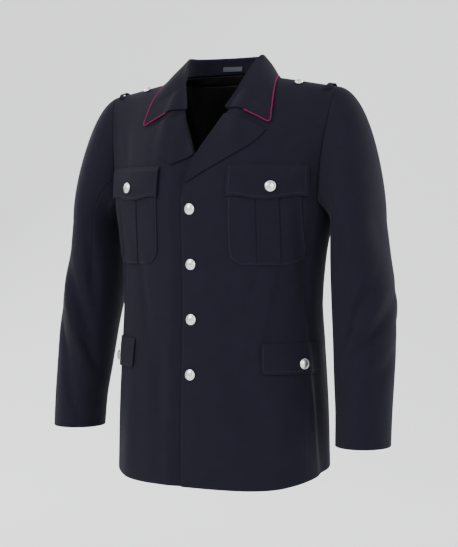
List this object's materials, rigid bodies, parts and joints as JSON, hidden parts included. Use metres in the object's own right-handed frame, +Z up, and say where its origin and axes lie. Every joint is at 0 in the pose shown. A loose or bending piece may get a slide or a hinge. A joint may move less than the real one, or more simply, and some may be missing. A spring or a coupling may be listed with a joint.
{
  "type": "dress uniform jacket",
  "caption": "Single-breasted dark navy dress uniform jacket in its worn, hollow shape, with notched lapels, piped collar, pleated breast pockets and flapped lower pockets.",
  "frame": {"origin": "centre of the neck, at the height where the shoulder seams meet the collar, where the wearer's shoulders hold the jacket", "axes": "+Z up, -Y towards the front, +X towards the wearer's left"},
  "size_m": [0.7058, 0.2615, 0.8101],
  "materials": {
    "navy_cloth": "fine wool serge, matt",
    "silver_metal": "satin silver",
    "black_lining": "smooth lining",
    "label_cloth": "plain woven label",
    "red_piping": "wool piping"
  },
  "bodies": {
    "root": {"front_left": "navy_cloth", "front_right": "navy_cloth", "side_left": "navy_cloth", "side_right": "navy_cloth", "back_left": "navy_cloth", "back_right": "navy_cloth", "top_sleeve_left": "navy_cloth", "top_sleeve_right": "navy_cloth", "under_sleeve_left": "navy_cloth", "under_sleeve_right": "navy_cloth", "collar": "navy_cloth", "lapel_left": "navy_cloth", "lapel_right": "navy_cloth", "breast_pocket_left": "navy_cloth", "breast_pocket_right": "navy_cloth", "breast_flap_left": "navy_cloth", "breast_flap_right": "navy_cloth", "lower_flap_left": "navy_cloth", "lower_flap_right": "navy_cloth", "shoulder_loop_left": "navy_cloth", "shoulder_loop_right": "navy_cloth", "button_front_1": "silver_metal", "button_front_2": "silver_metal", "button_front_3": "silver_metal", "button_front_4": "silver_metal", "button_breast_left": "silver_metal", "button_breast_right": "silver_metal", "button_flap_left": "silver_metal", "button_flap_right": "silver_metal", "button_shoulder_left": "silver_metal", "button_shoulder_right": "silver_metal", "back_neck_lining": "black_lining", "label": "label_cloth", "collar_piping": "red_piping"}
  },
  "joints": []
}
